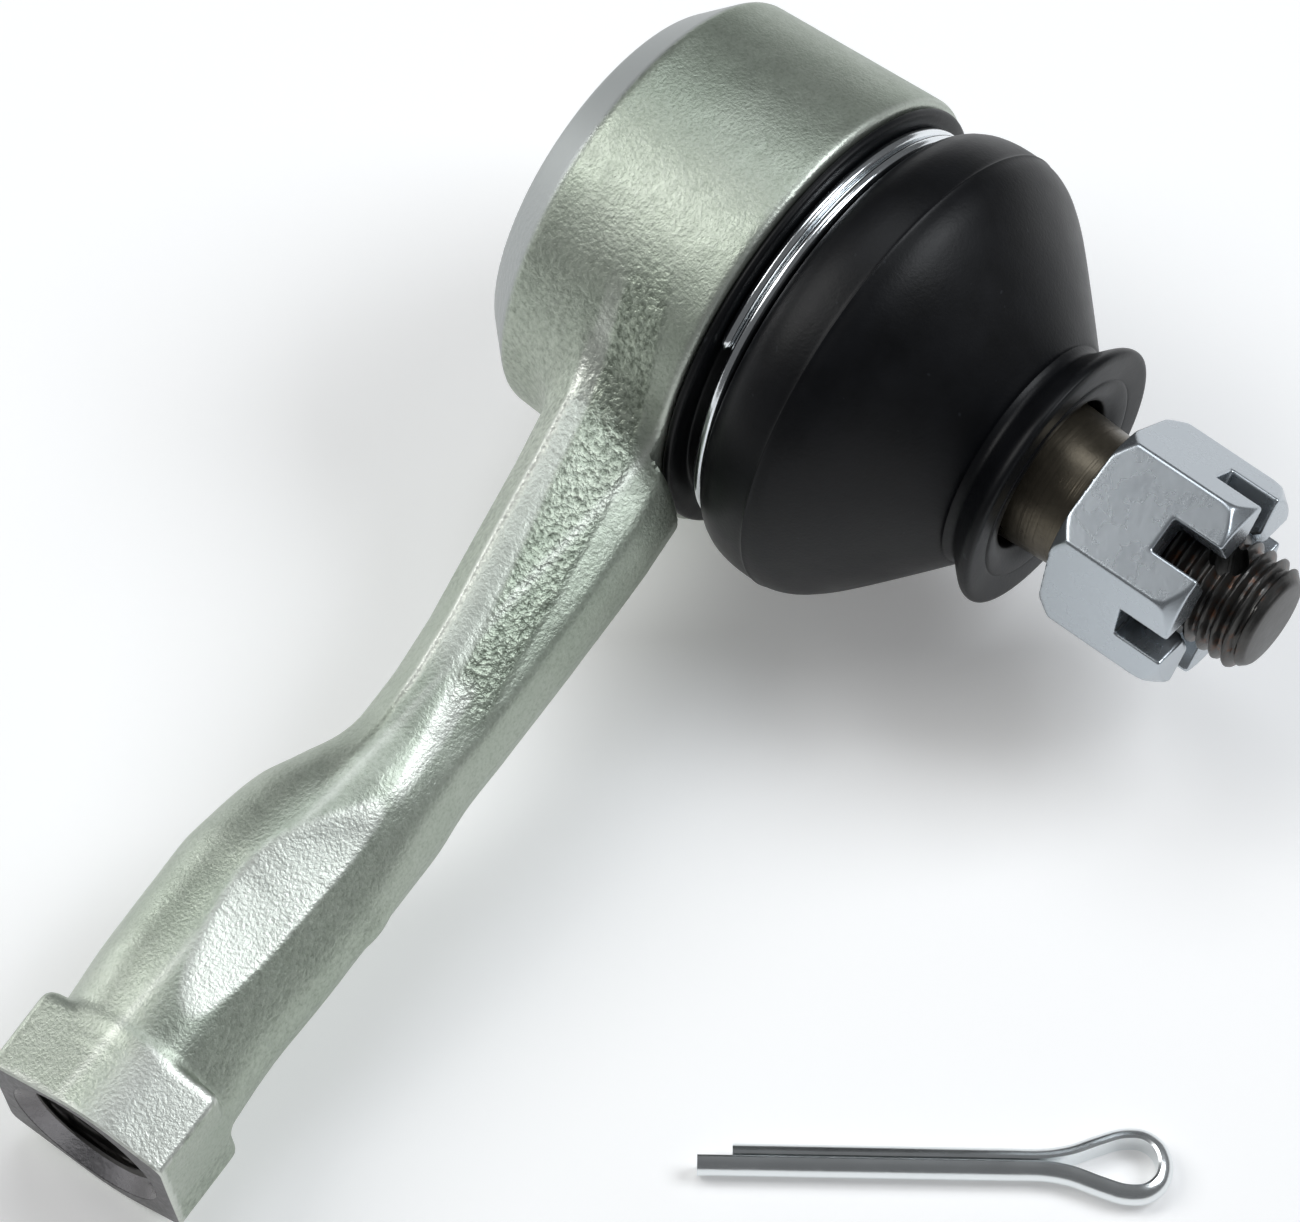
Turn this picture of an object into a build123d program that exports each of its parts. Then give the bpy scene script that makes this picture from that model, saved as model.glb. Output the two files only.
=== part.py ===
from build123d import *
import math
import os

# Tie rod end: ball joint with a castle-nutted tapered stud, on a forged arm with a threaded bore.
# Frame: origin at the ball centre, +Y along the stud towards its threaded end,
# +Z up from the bench the part lies on; the arm leaves towards +X and droops to the bench.
# Units are millimetres.

# ---- driving dimensions ----
arm_yaw = 4.6            # arm axis leans towards the stud side
arm_droop = 7.85         # arm axis drops so that its collar touches the bench
arm_len = 92.3           # ball centre to the mouth of the rod thread

ball_r = 10.5
seat_clear = 0.05
seat_in_r = ball_r + seat_clear
bore_r = 13.0            # socket bore
seat_out_r = 12.94
face_y = 6.9             # boot side face of the head, inside its step
step_y = 6.3             # the same face outside the step, under the boot's rim
step_r = 16.5
head_r = 20.4
closed_y = -14.7         # rolled lip end
mouth_r = 10.0

rod_minor_r = 5.35       # M12x1.25 minor radius
rod_depth = 30.0
collar_len = 7.8
collar_half = 8.5        # 17 mm across flats

stud_neck_r = 5.2
stud_taper_y0 = 20.0
stud_taper_r0 = 7.05
stud_taper_y1 = 36.6
stud_taper_r1 = 6.05
thread_r = 4.95          # M10x1.25 crest
thread_end_y = 53.4
cotter_hole_r = 1.6
cotter_hole_y = 48.3

nut_y0 = 36.62
nut_h = 11.9
nut_af = 17.0
nut_slot_w = 3.1
nut_slot_d = 4.6
nut_bore_r = 5.0
nut_phase = 36.65        # direction of one corner of the hexagon, from +X towards +Z

bench_z = -20.95

os.makedirs("parts", exist_ok=True)


def dirvec(u, side, up):
    """A point given along the arm axis, to its side and above it, in the row frame."""
    yw = math.radians(arm_yaw)
    pr = math.radians(arm_droop)
    x = u * math.cos(yw) - side * math.sin(yw)
    y = u * math.sin(yw) + side * math.cos(yw)
    return (x * math.cos(pr) + up * math.sin(pr), y, -x * math.sin(pr) + up * math.cos(pr))


def arm_plane(u):
    return Plane(origin=dirvec(u, 0, 0), x_dir=dirvec(0, 1, 0), z_dir=dirvec(1, 0, 0))


# ---- forged housing: socket head, arm, barrel and hexagonal collar in one piece ----
# Arm sections: distance along the arm, then left face, left knee height, left ridge, top height,
# right ridge, right knee height and right face, all measured from the arm axis.
arm_sections = [
    (15.5, -7.6, 4.6, -4.6, 9.4, 2.2, 3.8, 5.2),
    (21.3, -6.0, 4.4, -3.4, 8.8, 3.2, 3.6, 7.2),
    (32.3, -4.4, 4.0, -2.0, 8.2, 4.9, 3.3, 8.0),
    (43.3, -3.0, 3.6, -0.6, 7.6, 5.8, 3.2, 8.0),
    (50.3, -2.5, 3.4, 0.6, 7.0, 6.3, 3.2, 7.9),
    (53.6, -2.9, 3.4, 1.0, 6.9, 5.6, 3.2, 7.8),
    (57.8, -4.8, 3.6, 0.2, 7.3, 5.8, 3.2, 7.8),
    (62.3, -6.8, 3.8, -1.6, 7.9, 5.6, 3.6, 7.9),
    (68.7, -7.6, 4.0, -3.0, 8.2, 4.6, 4.0, 7.8),
    (77.9, -7.7, 4.0, -3.2, 8.2, 3.6, 4.0, 7.4),
    (86.0, -7.7, 4.0, -3.2, 8.2, 3.4, 4.0, 7.6),
]

with BuildPart() as housing:
    with BuildSketch(Plane.XY):
        with BuildLine():
            Polyline((0, face_y), (step_r - 0.1, face_y), (step_r, face_y - 0.1), (step_r, step_y), (19.9, step_y),
                     (20.3, step_y - 0.25), (head_r, step_y - 0.7), (20.3, 4.4), (19.9, -3.7), (19.7, -8.9), (19.45, -10.6),
                     (18.9, -11.6), (16.2, closed_y), (0, closed_y), (0, face_y))
        make_face()
    revolve(axis=Axis.Y)
    for k in range(len(arm_sections) - 1):
        with BuildPart(mode=Mode.ADD):
            for s in (arm_sections[k], arm_sections[k + 1]):
                u, yl, zl, rl, zt, rr, zr, yr = s
                with BuildSketch(arm_plane(u)):
                    with BuildLine():
                        Polyline((yl, -zl), (yl, zl), (rl, zt), (rr, zt - 0.6), (yr, zr),
                                 (yr, -zr), (rr, -zt + 0.6), (rl, -zt), (yl, -zl))
                    make_face()
            loft(ruled=True)
    with BuildSketch(arm_plane(arm_len - collar_len)) as collar_sk:
        with BuildLine():
            Polyline((-collar_half, -5.6), (-collar_half, 5.6), (1.2, 8.3), (collar_half, 5.7),
                     (collar_half, -5.7), (1.2, -8.3), (-collar_half, -5.6))
        make_face()
        fillet(collar_sk.vertices(), 0.8)
    extrude(amount=collar_len)
    # room around the boot beside the arm's shoulder
    with BuildSketch(Plane.XZ.offset(-face_y)):
        Circle(21.45)
    extrude(amount=-14, mode=Mode.SUBTRACT)
    with BuildSketch(Plane.XZ.offset(-step_y)):
        Circle(21.45)
        Circle(step_r, mode=Mode.SUBTRACT)
    extrude(amount=-2, mode=Mode.SUBTRACT)
    # socket cavity, mouth and the recess the cap is rolled into
    with BuildSketch(Plane.XY):
        with BuildLine():
            Polyline((0, face_y + 1), (mouth_r + 0.6, face_y + 1), (mouth_r + 0.6, face_y), (mouth_r, face_y - 0.6),
                     (mouth_r, 5.7), (bore_r, 2.0), (bore_r, closed_y + 2.45), (14.35, closed_y + 2.45), (14.35, closed_y + 0.9),
                     (13.2, closed_y + 0.9), (13.2, closed_y - 1), (0, closed_y - 1), (0, face_y + 1))
        make_face()
    revolve(axis=Axis.Y, mode=Mode.SUBTRACT)
    # threaded bore with its countersink
    with BuildSketch(arm_plane(arm_len)):
        Circle(rod_minor_r)
    extrude(amount=-rod_depth, mode=Mode.SUBTRACT)
    with BuildSketch(arm_plane(arm_len)):
        Circle(6.9)
    extrude(amount=-1.55, taper=45, mode=Mode.SUBTRACT)
housing.part.label = "housing"
export_step(housing.part, "parts/housing.step")

# ---- end cap: domed disc held by the rolled lip ----
with BuildPart() as end_cap:
    with BuildSketch(Plane.XY):
        with BuildLine():
            Polyline((0, -15.9), (6.8, -15.9), (8.4, -14.9), (9.2, -12.3), (14.3, -12.3), (14.3, -13.75),
                     (10.4, -13.75), (9.4, -16.2), (7.4, -17.3), (0, -17.3), (0, -15.9))
        make_face()
    revolve(axis=Axis.Y)
end_cap.part.label = "end_cap"
export_step(end_cap.part, "parts/end_cap.step")

# ---- lower seat: spring-loaded half of the bearing ----
with BuildPart() as lower_seat:
    with BuildSketch(Plane.XY):
        with BuildLine():
            Polyline((0, -11.4), (8.3, -11.4), (8.3, -11.85), (11.6, -11.85), (seat_out_r, -10.7), (seat_out_r, -0.6),
                     (0, -0.6), (0, -11.4))
        make_face()
    revolve(axis=Axis.Y)
    Sphere(seat_in_r, mode=Mode.SUBTRACT)
    # grease reservoir under the ball
    with BuildSketch(Plane.XZ.offset(11.5)):
        Circle(2.5)
    extrude(amount=-4, mode=Mode.SUBTRACT)
lower_seat.part.label = "lower_seat"
export_step(lower_seat.part, "parts/lower_seat.step")

# ---- upper seat: half of the bearing that retains the ball ----
with BuildPart() as upper_seat:
    with BuildSketch(Plane.XY):
        with BuildLine():
            Polyline((0, -0.2), (seat_out_r, -0.2), (seat_out_r, 1.95), (9.94, 5.6), (9.94, 5.9), (0, 5.9), (0, -0.2))
        make_face()
    revolve(axis=Axis.Y)
    Sphere(seat_in_r, mode=Mode.SUBTRACT)
    with BuildSketch(Plane.XZ.offset(-5.2)):
        Circle(9.22)
    extrude(amount=-2, mode=Mode.SUBTRACT)
upper_seat.part.label = "upper_seat"
export_step(upper_seat.part, "parts/upper_seat.step")

# ---- preload spring: short conical coil between cap and lower seat ----
spring_wire_r = 0.55
spring_r = 5.0
spring_y0 = -11.98
spring_turns_h = 3.3
with BuildPart() as preload_spring:
    with BuildLine() as spring_path:
        Helix(pitch=1.32, height=spring_turns_h, radius=spring_r, center=(0, spring_y0, 0), direction=(0, -1, 0))
    with BuildSketch(Plane(origin=spring_path.line @ 0, z_dir=spring_path.line % 0)):
        Circle(spring_wire_r)
    sweep(is_frenet=True)
preload_spring.part.label = "preload_spring"
export_step(preload_spring.part, "parts/preload_spring.step")

# ---- ball stud: ball, neck, shoulder, 1:8 taper and M10 thread ----
ball_join_y = math.sqrt(ball_r ** 2 - stud_neck_r ** 2)
with BuildPart() as ball_stud:
    Sphere(ball_r)
    with BuildSketch(Plane.XZ.offset(9.9)):
        Circle(12)
    extrude(amount=3, mode=Mode.SUBTRACT)
    with BuildSketch(Plane.XY):
        with BuildLine():
            Polyline((0, 0), (stud_neck_r, 0), (stud_neck_r, 12.2), (stud_taper_r0, 16.0), (stud_taper_r0, stud_taper_y0),
                     (stud_taper_r1, stud_taper_y1 - 0.3), (thread_r - 0.5, stud_taper_y1), (thread_r - 0.5, stud_taper_y1 + 1.2),
                     (thread_r, stud_taper_y1 + 1.7), (thread_r, thread_end_y - 0.9), (4.0, thread_end_y), (0, thread_end_y), (0, 0))
        make_face()
    revolve(axis=Axis.Y)
    with BuildSketch(Plane.XY.offset(-8)):
        with Locations((-0.2, cotter_hole_y)):
            Circle(cotter_hole_r)
    extrude(amount=16, mode=Mode.SUBTRACT)
ball_stud.part.label = "ball_stud"
export_step(ball_stud.part, "parts/ball_stud.step")

# ---- castle nut ----
nut_r = nut_af / math.sqrt(3)
with BuildPart() as castle_nut:
    with BuildSketch(Plane.XZ.offset(-nut_y0)):
        RegularPolygon(nut_r, 6, rotation=nut_phase)
    extrude(amount=-nut_h)
    with BuildSketch(Plane.XY):
        with BuildLine():
            Polyline((0, nut_y0), (8.85, nut_y0), (nut_r + 0.1, nut_y0 + 1.5), (nut_r + 0.1, nut_y0 + nut_h - 3.6),
                     (9.35, nut_y0 + nut_h - 1.1), (8.6, nut_y0 + nut_h - 0.4), (7.5, nut_y0 + nut_h), (0, nut_y0 + nut_h), (0, nut_y0))
        make_face()
    revolve(axis=Axis.Y, mode=Mode.INTERSECT)
    for k in range(3):
        with BuildSketch(Plane.XZ.offset(-(nut_y0 + nut_h))):
            Rectangle(24, nut_slot_w, rotation=nut_phase + 30 + 60 * k)
        extrude(amount=nut_slot_d, mode=Mode.SUBTRACT)
    with BuildSketch(Plane.XZ.offset(-nut_y0 + 1)):
        Circle(nut_bore_r)
    extrude(amount=-20, mode=Mode.SUBTRACT)
castle_nut.part.label = "castle_nut"
export_step(castle_nut.part, "parts/castle_nut.step")

# ---- dust boot: flange, ring groove, bulge, cone, waist and lip ----
with BuildPart() as dust_boot:
    with BuildSketch(Plane.XY):
        with BuildLine():
            Polyline((10.9, 6.95), (step_r + 0.05, 6.95), (step_r + 0.05, step_y + 0.05), (19.75, step_y + 0.05), (19.95, 6.6),
                     (19.75, 7.08), (17.9, 7.12), (17.56, 7.3), (17.56, 9.4), (17.9, 9.7), (19.4, 10.15), (20.3, 10.9), (20.85, 12.6), (20.95, 14.6), (20.7, 16.6), (19.9, 18.3),
                     (18.6, 20.0), (10.6, 28.0), (10.2, 28.4), (10.3, 28.9), (11.5, 29.9), (12.0, 30.8), (11.8, 31.6),
                     (11.2, 32.2), (10.2, 32.3), (9.7, 31.6), (9.4, 30.5), (8.3, 30.5), (7.9, 31.9), (7.0, 31.9),
                     (6.52, 31.3), (6.62, 29.0), (7.6, 28.2), (8.6, 27.6), (17.4, 18.8), (18.6, 17.0), (19.1, 14.6),
                     (18.8, 12.6), (17.6, 11.9), (15.6, 11.2), (15.4, 8.6), (14.6, 8.0), (10.9, 8.0), (10.9, 6.95))
        make_face()
    revolve(axis=Axis.Y)
dust_boot.part.label = "dust_boot"
export_step(dust_boot.part, "parts/dust_boot.step")

# ---- boot clamp ring: two turns of round wire side by side ----
wire_r = 0.55
wire_path_r = 17.56 + 0.04 + wire_r
with BuildPart() as boot_clamp_ring:
    for yy in (7.76, 8.84):
        with BuildSketch(Plane.XY):
            with Locations((wire_path_r, yy)):
                Circle(wire_r)
        revolve(axis=Axis.Y)
boot_clamp_ring.part.label = "boot_clamp_ring"
export_step(boot_clamp_ring.part, "parts/boot_clamp_ring.step")

# ---- boot neck ring: flat steel ring in the recess of the boot's lip ----
with BuildPart() as boot_neck_ring:
    with BuildSketch(Plane.XZ.offset(-30.56)):
        Circle(9.32)
        Circle(8.4, mode=Mode.SUBTRACT)
    extrude(amount=-0.7)
boot_neck_ring.part.label = "boot_neck_ring"
export_step(boot_neck_ring.part, "parts/boot_neck_ring.step")

# ---- cotter pin: two legs and a pear-shaped eye, lying on the bench ----
# Its own plane has x along the legs towards the eye, and lies on the bench.
pin_ang = math.degrees(math.atan2(65.1 - 43.6, 40.2 - 57.6))
pin_pl = Plane(origin=(40.2, 65.1, bench_z + 1.2), x_dir=(math.cos(math.radians(pin_ang)), math.sin(math.radians(pin_ang)), 0), z_dir=(0, 0, 1))
leg_r = 0.66
with BuildPart() as cotter_pin:
    with BuildLine(pin_pl) as pin_path:
        FilletPolyline((-29.2, -0.70), (-0.3, -0.70), (4.9, -2.85), (7.75, -1.9), (7.75, 1.9), (4.9, 2.85),
                       (-0.3, 0.70), (-26.4, 0.70), radius=1.4)
    with BuildSketch(Plane(origin=pin_path.line @ 0, z_dir=pin_path.line % 0, x_dir=(0, 0, 1))):
        Ellipse(1.2, leg_r)
    sweep()
cotter_pin.part.label = "cotter_pin"
export_step(cotter_pin.part, "parts/cotter_pin.step")
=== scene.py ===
import bpy, bmesh, math
import numpy as np
from mathutils import Vector, Matrix, noise


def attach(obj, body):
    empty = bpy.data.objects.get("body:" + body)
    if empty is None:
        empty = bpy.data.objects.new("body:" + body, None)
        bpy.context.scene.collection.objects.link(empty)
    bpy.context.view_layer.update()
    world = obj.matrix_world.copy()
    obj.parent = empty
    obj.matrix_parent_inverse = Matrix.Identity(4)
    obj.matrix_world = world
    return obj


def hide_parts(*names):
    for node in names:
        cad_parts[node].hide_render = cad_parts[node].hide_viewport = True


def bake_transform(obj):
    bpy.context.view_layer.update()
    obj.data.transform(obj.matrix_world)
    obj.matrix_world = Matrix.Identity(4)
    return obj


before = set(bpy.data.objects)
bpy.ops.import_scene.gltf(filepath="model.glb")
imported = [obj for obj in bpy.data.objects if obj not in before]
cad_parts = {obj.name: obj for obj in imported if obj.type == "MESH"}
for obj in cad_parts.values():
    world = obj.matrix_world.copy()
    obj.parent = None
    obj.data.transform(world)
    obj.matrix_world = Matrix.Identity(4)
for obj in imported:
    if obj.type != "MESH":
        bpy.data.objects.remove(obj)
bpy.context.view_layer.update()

MM = 0.001
rad = math.radians

# ------------------------------------------------------------------ frames
YAW, DROOP = rad(4.6), rad(7.85)
ARM_LEN = 92.3


def dirvec(u, s, w):
    x = u * math.cos(YAW) - s * math.sin(YAW)
    y = u * math.sin(YAW) + s * math.cos(YAW)
    return np.array([x * math.cos(DROOP) + w * math.sin(DROOP), y, -x * math.sin(DROOP) + w * math.cos(DROOP)])


A_DIR, B_DIR, C_DIR = dirvec(1, 0, 0), dirvec(0, 1, 0), dirvec(0, 0, 1)


# ------------------------------------------------------------------ mesh helpers
def make_obj(name, verts_mm, faces, body, mat, replaces=(), smooth=True, sharp=None):
    me = bpy.data.meshes.new(name)
    v = np.asarray(verts_mm, float) * MM
    me.from_pydata(v.tolist(), [], faces if isinstance(faces, list) else faces.tolist())
    me.validate()
    if smooth:
        me.polygons.foreach_set("use_smooth", [True] * len(me.polygons))
    me.update()
    if sharp is not None:
        me.set_sharp_from_angle(angle=rad(sharp))
    o = bpy.data.objects.new(name, me)
    bpy.context.scene.collection.objects.link(o)
    if mat is not None:
        me.materials.append(mat)
    if body:
        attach(o, body)
    if replaces:
        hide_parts(*replaces)
    return o


def revolve(profile, n=128, radial=None):
    """Closed or open (r, y) profile about the Y axis. A radius of 0 makes a pole. Angles run from +X to +Z."""
    verts, rows = [], []
    for (r, y) in profile:
        if r < 1e-6:
            rows.append([len(verts)])
            verts.append((0, y, 0))
        else:
            row = []
            for k in range(n):
                t = 2 * math.pi * k / n
                rr, yy = (r, y) if radial is None else radial(r, y, t)
                row.append(len(verts))
                verts.append((rr * math.cos(t), yy, rr * math.sin(t)))
            rows.append(row)
    faces = []
    for a, b in zip(rows[:-1], rows[1:]):
        faces += bridge_rows(a, b)
    return np.array(verts, float), faces, rows


def bridge_rows(a, b):
    out = []
    if len(a) == 1 and len(b) == 1:
        return out
    n = max(len(a), len(b))
    for k in range(n):
        k2 = (k + 1) % n
        if len(a) == 1:
            out.append((a[0], b[k2], b[k]))
        elif len(b) == 1:
            out.append((a[k], a[k2], b[0]))
        else:
            out.append((a[k], a[k2], b[k2], b[k]))
    return out


def fix_normals(o):
    bm = bmesh.new()
    bm.from_mesh(o.data)
    bmesh.ops.recalc_face_normals(bm, faces=bm.faces)
    bm.to_mesh(o.data)
    bm.free()
    o.data.update()


def catmull(pts, per=6, closed=False):
    """Points through the given (r, y) pairs on a centripetal spline."""
    P = [np.array(p, float) for p in pts]
    out = []
    n = len(P)
    for i in range(n if closed else n - 1):
        p0 = P[(i - 1) % n] if closed or i > 0 else P[0] * 2 - P[1]
        p1, p2 = P[i], P[(i + 1) % n]
        p3 = P[(i + 2) % n] if closed or i + 2 < n else p2 * 2 - p1
        d1 = max(np.linalg.norm(p1 - p0) ** 0.5, 1e-4)
        d2 = max(np.linalg.norm(p2 - p1) ** 0.5, 1e-4)
        d3 = max(np.linalg.norm(p3 - p2) ** 0.5, 1e-4)
        m1 = d2 * ((p1 - p0) / d1 - (p2 - p0) / (d1 + d2) + (p2 - p1) / d2)
        m2 = d2 * ((p2 - p1) / d2 - (p3 - p1) / (d2 + d3) + (p3 - p2) / d3)
        for j in range(per):
            t = j / per
            out.append((2 * t**3 - 3 * t**2 + 1) * p1 + (t**3 - 2 * t**2 + t) * m1
                       + (-2 * t**3 + 3 * t**2) * p2 + (t**3 - t**2) * m2)
    if not closed:
        out.append(P[-1])
    return out


# ------------------------------------------------------------------ implicit surfaces
def smax(a, b, k):
    h = np.maximum(k - np.abs(a - b), 0.0) / k
    return np.maximum(a, b) + h * h * k * 0.25


def smin(a, b, k):
    h = np.maximum(k - np.abs(a - b), 0.0) / k
    return np.minimum(a, b) - h * h * k * 0.25


def surface_nets(fn, lo, hi, h, chunk=40):
    lo = np.array(lo, float)
    n = np.ceil((np.array(hi, float) - lo) / h).astype(int) + 1
    xs, ys, zs = (lo[i] + h * np.arange(n[i]) for i in range(3))
    F = np.empty(n, np.float32)
    for i0 in range(0, n[0], chunk):
        i1 = min(i0 + chunk, n[0])
        X, Y, Z = np.meshgrid(xs[i0:i1], ys, zs, indexing="ij")
        F[i0:i1] = fn(np.stack([X.ravel(), Y.ravel(), Z.ravel()], 1)).reshape(X.shape)
    S = F < 0
    c = S[:-1, :-1, :-1].astype(np.int8)
    tot = np.zeros_like(c)
    for dx in (0, 1):
        for dy in (0, 1):
            for dz in (0, 1):
                tot += S[dx:n[0] - 1 + dx, dy:n[1] - 1 + dy, dz:n[2] - 1 + dz]
    act = (tot > 0) & (tot < 8)
    idx = -np.ones(act.shape, np.int64)
    cells = np.argwhere(act)
    idx[act] = np.arange(len(cells))
    pos = np.zeros((len(cells), 3))
    cnt = np.zeros(len(cells))
    ci = cells
    corners = [(0, 0, 0), (1, 0, 0), (0, 1, 0), (1, 1, 0), (0, 0, 1), (1, 0, 1), (0, 1, 1), (1, 1, 1)]
    edges = [(0, 1), (2, 3), (4, 5), (6, 7), (0, 2), (1, 3), (4, 6), (5, 7), (0, 4), (1, 5), (2, 6), (3, 7)]
    val = [F[ci[:, 0] + a, ci[:, 1] + b, ci[:, 2] + d] for a, b, d in corners]
    for e0, e1 in edges:
        va, vb = val[e0], val[e1]
        m = (va < 0) != (vb < 0)
        t = np.where(m, va / np.where(m, va - vb, 1), 0)
        pa, pb = np.array(corners[e0], float), np.array(corners[e1], float)
        pos += m[:, None] * (pa + t[:, None] * (pb - pa))
        cnt += m
    verts = lo + (cells + pos / cnt[:, None]) * h
    faces = []
    for ax in range(3):
        sl0 = [slice(None)] * 3
        sl1 = [slice(None)] * 3
        sl0[ax], sl1[ax] = slice(0, -1), slice(1, None)
        A, B = S[tuple(sl0)], S[tuple(sl1)]
        ch = A != B
        b, d = [i for i in range(3) if i != ax]
        e = np.argwhere(ch)
        e = e[(e[:, b] > 0) & (e[:, d] > 0) & (e[:, b] < n[b] - 1) & (e[:, d] < n[d] - 1)]
        q = []
        for ob, od in ((1, 1), (0, 1), (0, 0), (1, 0)):
            cc = e.copy()
            cc[:, b] -= ob
            cc[:, d] -= od
            q.append(idx[cc[:, 0], cc[:, 1], cc[:, 2]])
        q = np.stack(q, 1)
        inside = A[e[:, 0], e[:, 1], e[:, 2]]
        flip = inside if ax != 1 else ~inside
        q[~flip] = q[~flip][:, ::-1]
        faces.append(q)
    faces = np.concatenate(faces)
    return verts, faces


def gradient(fn, P, e=0.02):
    g = np.empty_like(P)
    for i in range(3):
        d = np.zeros(3)
        d[i] = e
        g[:, i] = (fn(P + d) - fn(P - d)) / (2 * e)
    return g


def project(fn, P, limit, steps=2):
    P0 = P.copy()
    for _ in range(steps):
        f = fn(P)
        g = gradient(fn, P, 0.05)
        P = P - 0.8 * (np.clip(f, -limit, limit) / np.maximum((g * g).sum(1), 0.3))[:, None] * g
    d = P - P0
    ln = np.linalg.norm(d, axis=1)
    s = np.minimum(1, limit / np.maximum(ln, 1e-9))
    return P0 + d * s[:, None]


def relax(fn, P, quads, rounds=3, limit=0.15):
    """Even out the mesh along the surface, and bring it back to the surface after each round."""
    i = np.concatenate([quads[:, 0], quads[:, 1], quads[:, 2], quads[:, 3]])
    j = np.concatenate([quads[:, 1], quads[:, 2], quads[:, 3], quads[:, 0]])
    n = len(P)
    cnt = np.bincount(i, minlength=n) + np.bincount(j, minlength=n)
    for _ in range(rounds):
        avg = np.stack([(np.bincount(i, P[j, k], n) + np.bincount(j, P[i, k], n)) / cnt for k in range(3)], 1)
        g = gradient(fn, P, 0.12)
        g /= np.maximum(np.linalg.norm(g, axis=1), 1e-6)[:, None]
        d = avg - P
        d -= (d * g).sum(1)[:, None] * g
        P = project(fn, P + 0.6 * d, limit, 1)
    return P


def unfold(fn, P, quads, rounds=4):
    """Corners of any face that points against the shape are moved to the mean of their neighbours."""
    P = P.copy()
    n = len(P)
    for _ in range(rounds):
        a, b, c, d = (P[quads[:, k]] for k in range(4))
        fn_ = np.cross(c - a, d - b)
        area2 = np.linalg.norm(fn_, axis=1) + 1e-12
        g = gradient(fn, (a + b + c + d) / 4)
        dot = np.einsum("ij,ij->i", fn_ / area2[:, None], g / (np.linalg.norm(g, axis=1) + 1e-9)[:, None])
        if np.median(dot) < 0:
            dot = -dot
        bad = np.unique(quads[(dot < 0.35) | (area2 < 0.08 * np.median(area2))])
        if not len(bad):
            break
        acc, cnt = np.zeros_like(P), np.zeros(n)
        for i, j in ((0, 1), (1, 2), (2, 3), (3, 0)):
            for p, q in ((i, j), (j, i)):
                np.add.at(acc, quads[:, p], P[quads[:, q]])
                np.add.at(cnt, quads[:, p], 1)
        P[bad] = acc[bad] / np.maximum(cnt[bad], 1)[:, None]
    return P


def noise_at(P, scale, seed=0.0):
    off = Vector((seed, seed * 1.7, -seed * 0.6))
    return np.array([noise.noise(Vector(p) * scale + off) for p in P])


def interp(u, table, col):
    t = np.array(table)
    return np.interp(u, t[:, 0], t[:, col])


def smooth_interp(u, xs, ys):
    """Monotone-friendly cubic through the given points."""
    xs, ys = np.array(xs, float), np.array(ys, float)
    d = np.diff(ys) / np.diff(xs)
    m = np.zeros_like(ys)
    m[1:-1] = np.where(d[1:] * d[:-1] > 0, 2 * d[1:] * d[:-1] / (d[1:] + d[:-1] + 1e-12), 0)
    m[0], m[-1] = d[0], d[-1]
    uc = np.clip(u, xs[0], xs[-1])
    i = np.clip(np.searchsorted(xs, uc) - 1, 0, len(xs) - 2)
    h = xs[i + 1] - xs[i]
    t = (uc - xs[i]) / h
    return ((2 * t**3 - 3 * t**2 + 1) * ys[i] + (t**3 - 2 * t**2 + t) * h * m[i]
            + (-2 * t**3 + 3 * t**2) * ys[i + 1] + (t**3 - t**2) * h * m[i + 1])


# ------------------------------------------------------------------ housing shape
# distance along the arm; left face; height of its knee; bright ridge (side, height);
# left and right edges of the coarse facet (side, height); right face and the height of its knee
ARM = [
    (8.0, -8.6, 4.8, -5.0, 9.6, -3.6, 9.5, 1.4, 8.0, 5.6, 4.6),
    (15.5, -7.6, 4.6, -4.0, 9.0, -2.6, 8.9, 2.2, 7.4, 6.2, 4.2),
    (21.3, -6.1, 4.4, -3.1, 8.6, -1.6, 8.5, 3.4, 6.9, 7.5, 3.6),
    (27.0, -5.1, 4.2, -2.2, 8.3, -0.5, 8.25, 4.3, 6.5, 8.0, 3.3),
    (34.3, -4.1, 3.9, -1.2, 8.0, 1.1, 7.9, 5.2, 6.0, 8.1, 3.2),
    (42.0, -3.0, 3.6, 0.0, 7.5, 2.6, 7.3, 5.9, 5.6, 8.1, 3.2),
    (47.3, -2.6, 3.4, 0.5, 7.2, 3.3, 6.9, 6.6, 5.0, 8.05, 3.2),
    (52.0, -2.6, 3.4, 0.6, 7.0, 4.0, 6.6, 6.7, 4.9, 7.9, 3.2),
    (60.0, -2.8, 3.4, 0.4, 7.0, 4.0, 6.6, 6.7, 4.9, 7.8, 3.2),
]


def f_arm(u, s, w):
    a = np.abs(w)
    c = [interp(u, ARM, k) for k in range(1, 11)]
    yl, zl, by, bz, cy, cz, dy, dz, yr, zr = c
    # the top sinks into the barrel beyond the waist
    drop = np.clip(u - 56.0, 0, 12) ** 2 * 0.035
    a = a + drop
    f = smax(yl - s, s - yr, 0.5)
    for (p, q, r, t), k in (((yl, zl, by, bz), 0.9), ((by, bz, cy, cz), 0.35), ((cy, cz, dy, dz), 0.6), ((dy, dz, yr, zr), 2.6)):
        ex, ez = r - p, t - q
        ln = np.sqrt(ex * ex + ez * ez)
        f = smax(f, (-ez * (s - p) + ex * (a - q)) / ln, k)
    f = smax(f, u - 66.0, 0.5)
    return smax(f, 4.0 - u, 0.5)


def lens_d(u):
    return 7.50 + np.where(u < 67.5, 0.0052, 0.0038) * (u - 67.5) ** 2


def lens_th(u):
    return np.radians(np.clip(59.0 + 0.76 * (u - 58.0), 57.0, 68.0))


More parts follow.
